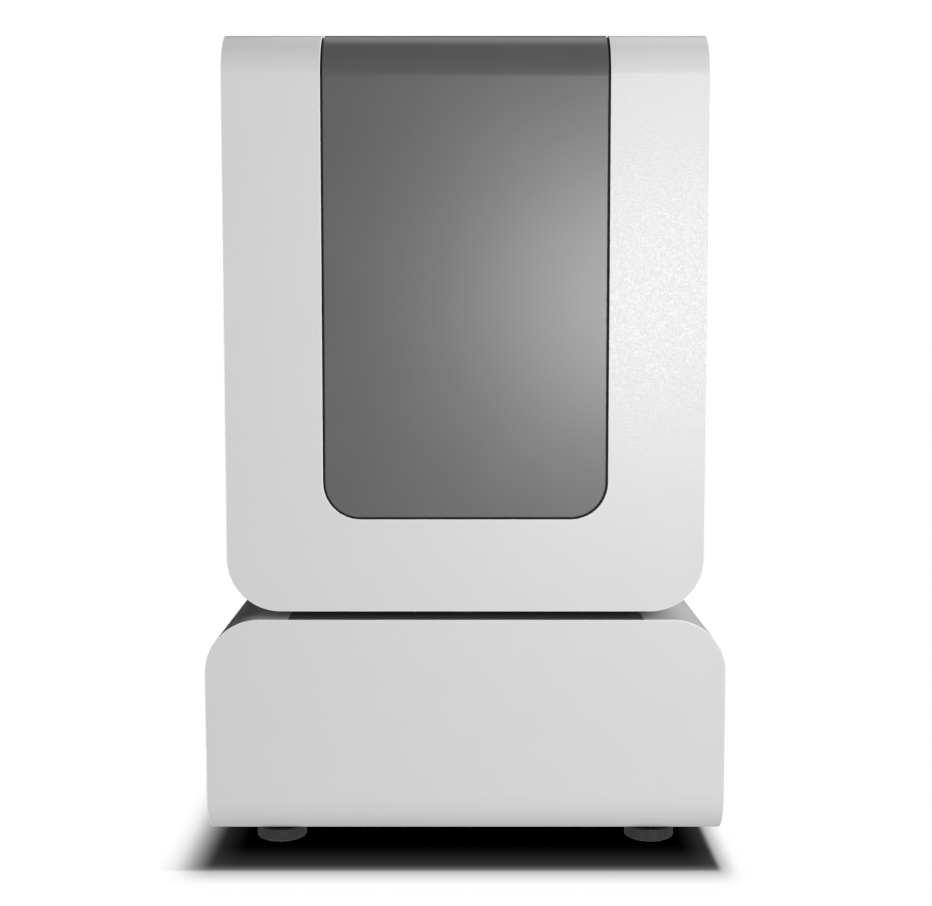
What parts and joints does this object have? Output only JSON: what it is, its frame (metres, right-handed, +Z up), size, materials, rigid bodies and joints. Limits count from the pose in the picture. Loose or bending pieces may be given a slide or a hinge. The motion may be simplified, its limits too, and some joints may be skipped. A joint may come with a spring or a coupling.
{
  "type": "dental laboratory furnace",
  "caption": "Bench-top sintering furnace: a tall sheet-metal hood with a round firing chamber rises by a spindle lift off a low base that carries the hearth.",
  "frame": {"origin": "on the bench, under the middle of the furnace's outline, feet screwed in", "axes": "+Z up, -Y towards the front with the dark panel, +X to the right seen from the front"},
  "size_m": [0.36, 0.43, 0.5666],
  "materials": {
    "white_cover": "satin",
    "dark_panel": "satin",
    "dark_sheet": "satin",
    "black_sheet": "matte",
    "zinc_sheet": "satin",
    "stainless": "satin",
    "ground_steel": "polished",
    "bare_aluminium": "satin",
    "bronze": "satin",
    "fibre": "matte",
    "alumina": "matte",
    "silicide": "satin",
    "transformer": "satin",
    "circuit": "satin",
    "display": "gloss",
    "black_plastic": "matte",
    "black_metal": "satin",
    "rubber": "matte"
  },
  "bodies": {
    "base": {"base_front_panel": "white_cover", "base_side_cover_left": "white_cover", "base_side_cover_right": "white_cover", "base_rear_panel": "dark_sheet", "base_chassis_tray": "zinc_sheet", "base_rail_left": "zinc_sheet", "base_rail_right": "zinc_sheet", "base_deck_plate": "dark_sheet", "hearth_socket": "stainless", "hearth_insulation": "fibre", "hearth_plate": "alumina", "power_transformer": "transformer", "power_controller": "bare_aluminium", "control_board": "circuit", "fan_frame": "black_plastic", "mains_inlet": "black_plastic", "switch_housing": "black_plastic", "lift_foundation_plate": "bare_aluminium", "guide_rod_left": "ground_steel", "guide_rod_right": "ground_steel", "lift_crosshead": "bare_aluminium", "column_cover": "dark_sheet", "spindle_bearing_lower": "ground_steel", "spindle_bearing_upper": "ground_steel", "drive_belt": "rubber", "lift_motor": "black_metal"},
    "hood": {"hood_front_panel": "white_cover", "hood_center_panel": "dark_panel", "center_panel_carrier": "black_sheet", "hood_side_cover_left": "white_cover", "hood_side_cover_right": "white_cover", "hood_rear_panel": "dark_sheet", "hood_bottom_plate": "stainless", "hood_back_frame": "zinc_sheet", "lift_carriage": "bare_aluminium", "guide_bush_left": "bronze", "guide_bush_right": "bronze", "spindle_nut": "bronze", "display_module": "display", "chamber_casing": "stainless", "chamber_insulation": "fibre", "chamber_roof": "fibre", "thermocouple": "alumina", "heating_element_1": "silicide", "heating_element_2": "silicide", "heating_element_3": "silicide", "heating_element_4": "silicide"},
    "spindle": {"lift_spindle": "ground_steel", "spindle_pulley": "bare_aluminium"},
    "motor_shaft": {"motor_pulley": "bare_aluminium"},
    "fan_impeller": {"fan_rotor": "black_plastic"},
    "switch_rocker": {"mains_rocker": "black_plastic"},
    "pad_front_left": {"foot_pad_front_left": "rubber"},
    "pad_front_right": {"foot_pad_front_right": "rubber"},
    "pad_rear_left": {"foot_pad_rear_left": "rubber"},
    "pad_rear_right": {"foot_pad_rear_right": "rubber"},
    "disc_front_left": {"foot_disc_front_left": "black_metal"},
    "disc_front_right": {"foot_disc_front_right": "black_metal"},
    "disc_rear_left": {"foot_disc_rear_left": "black_metal"},
    "disc_rear_right": {"foot_disc_rear_right": "black_metal"}
  },
  "joints": [
    {"name": "hood_lift", "type": "slide", "parent": "base", "child": "hood", "axis": [0, 0, 1], "range_m": [0, 0.16]},
    {"name": "spindle_turn", "type": "hinge", "parent": "base", "child": "spindle", "pos_m": [0, 0.114, 0.3], "axis": [0, 0, 1], "continuous": true},
    {"name": "motor_turn", "type": "hinge", "parent": "base", "child": "motor_shaft", "pos_m": [-0.0535, 0.114, 0.14], "axis": [0, 0, 1], "continuous": true},
    {"name": "fan_spin", "type": "hinge", "parent": "base", "child": "fan_impeller", "pos_m": [0.048, 0.194, 0.0642], "axis": [0, 1, 0], "continuous": true},
    {"name": "rocker_tilt", "type": "hinge", "parent": "base", "child": "switch_rocker", "pos_m": [-0.038, 0.2096, 0.0542], "axis": [1, 0, 0], "range_deg": [-16, 0]},
    {"name": "foot_height_front_left", "type": "slide", "parent": "base", "child": "pad_front_left", "axis": [0, 0, -1], "range_m": [0, 0.008]},
    {"name": "foot_height_front_right", "type": "slide", "parent": "base", "child": "pad_front_right", "axis": [0, 0, -1], "range_m": [0, 0.008]},
    {"name": "foot_height_rear_left", "type": "slide", "parent": "base", "child": "pad_rear_left", "axis": [0, 0, -1], "range_m": [0, 0.008]},
    {"name": "foot_height_rear_right", "type": "slide", "parent": "base", "child": "pad_rear_right", "axis": [0, 0, -1], "range_m": [0, 0.008]},
    {"name": "foot_turn_front_left", "type": "hinge", "parent": "pad_front_left", "child": "disc_front_left", "pos_m": [-0.1328, -0.1704, 0.005], "axis": [0, 0, -1], "range_deg": [0, 2300]},
    {"name": "foot_turn_front_right", "type": "hinge", "parent": "pad_front_right", "child": "disc_front_right", "pos_m": [0.1328, -0.1704, 0.005], "axis": [0, 0, -1], "range_deg": [0, 2300]},
    {"name": "foot_turn_rear_left", "type": "hinge", "parent": "pad_rear_left", "child": "disc_rear_left", "pos_m": [-0.1328, 0.1678, 0.005], "axis": [0, 0, -1], "range_deg": [0, 2300]},
    {"name": "foot_turn_rear_right", "type": "hinge", "parent": "pad_rear_right", "child": "disc_rear_right", "pos_m": [0.1328, 0.1678, 0.005], "axis": [0, 0, -1], "range_deg": [0, 2300]}
  ],
  "couplings": [
    {"joint": "spindle_turn", "follows": "hood_lift", "rad_per_m": -1570.8},
    {"joint": "motor_turn", "follows": "hood_lift", "rad_per_m": -2618},
    {"joint": "foot_height_front_left", "follows": "foot_turn_front_left", "m_per_rad": 0.00019894},
    {"joint": "foot_height_front_right", "follows": "foot_turn_front_right", "m_per_rad": 0.00019894},
    {"joint": "foot_height_rear_left", "follows": "foot_turn_rear_left", "m_per_rad": 0.00019894},
    {"joint": "foot_height_rear_right", "follows": "foot_turn_rear_right", "m_per_rad": 0.00019894}
  ]
}
